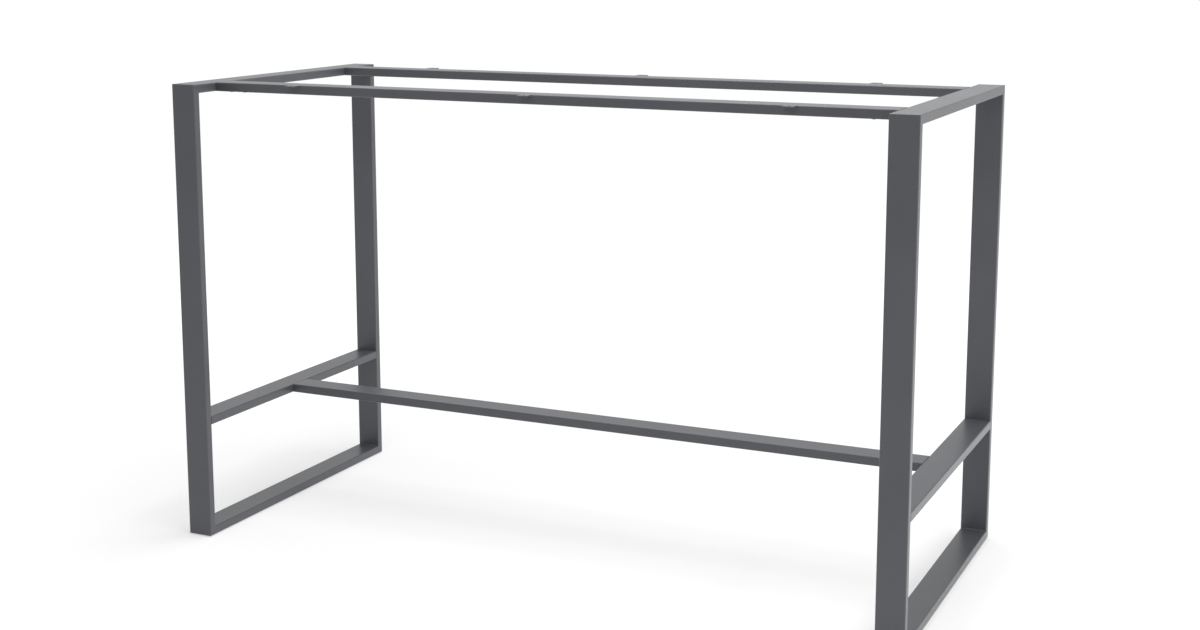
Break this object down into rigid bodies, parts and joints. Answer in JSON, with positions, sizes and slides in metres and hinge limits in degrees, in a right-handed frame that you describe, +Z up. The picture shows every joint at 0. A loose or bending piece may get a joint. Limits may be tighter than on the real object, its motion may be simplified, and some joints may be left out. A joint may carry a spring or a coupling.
{
  "type": "table frame",
  "caption": "Bar-height table frame: closed loops of flat steel tube at the ends, tied by top rails with fixing tabs and by a low foot rail.",
  "frame": {"origin": "on the floor, under the middle of the frame", "axes": "+X along the table to the right, +Y from the front to the rear, +Z up"},
  "size_m": [1.7, 0.75, 1.05],
  "materials": {
    "powder_coat": "matt anthracite powder coat, fine texture",
    "zinc_steel": "zinc plated",
    "black_steel": "black zinc plated",
    "glide_plastic": "matt black"
  },
  "bodies": {
    "root": {"left_front_upright": "powder_coat", "left_rear_upright": "powder_coat", "left_top_bar": "powder_coat", "left_bottom_bar": "powder_coat", "left_cross_bar": "powder_coat", "left_front_glide": "glide_plastic", "left_rear_glide": "glide_plastic", "right_front_upright": "powder_coat", "right_rear_upright": "powder_coat", "right_top_bar": "powder_coat", "right_bottom_bar": "powder_coat", "right_cross_bar": "powder_coat", "right_front_glide": "glide_plastic", "right_rear_glide": "glide_plastic", "front_top_rail": "powder_coat", "front_top_rail_left_spigot": "powder_coat", "front_top_rail_right_spigot": "powder_coat", "front_top_rail_screws": "black_steel", "front_top_rail_nuts": "zinc_steel", "rear_top_rail": "powder_coat", "rear_top_rail_left_spigot": "powder_coat", "rear_top_rail_right_spigot": "powder_coat", "rear_top_rail_screws": "black_steel", "rear_top_rail_nuts": "zinc_steel", "foot_rail": "powder_coat", "foot_rail_left_spigot": "powder_coat", "foot_rail_right_spigot": "powder_coat", "foot_rail_screws": "black_steel", "foot_rail_nuts": "zinc_steel", "front_left_tab": "powder_coat", "front_middle_tab": "powder_coat", "front_right_tab": "powder_coat", "rear_left_tab": "powder_coat", "rear_middle_tab": "powder_coat", "rear_right_tab": "powder_coat"}
  },
  "joints": []
}
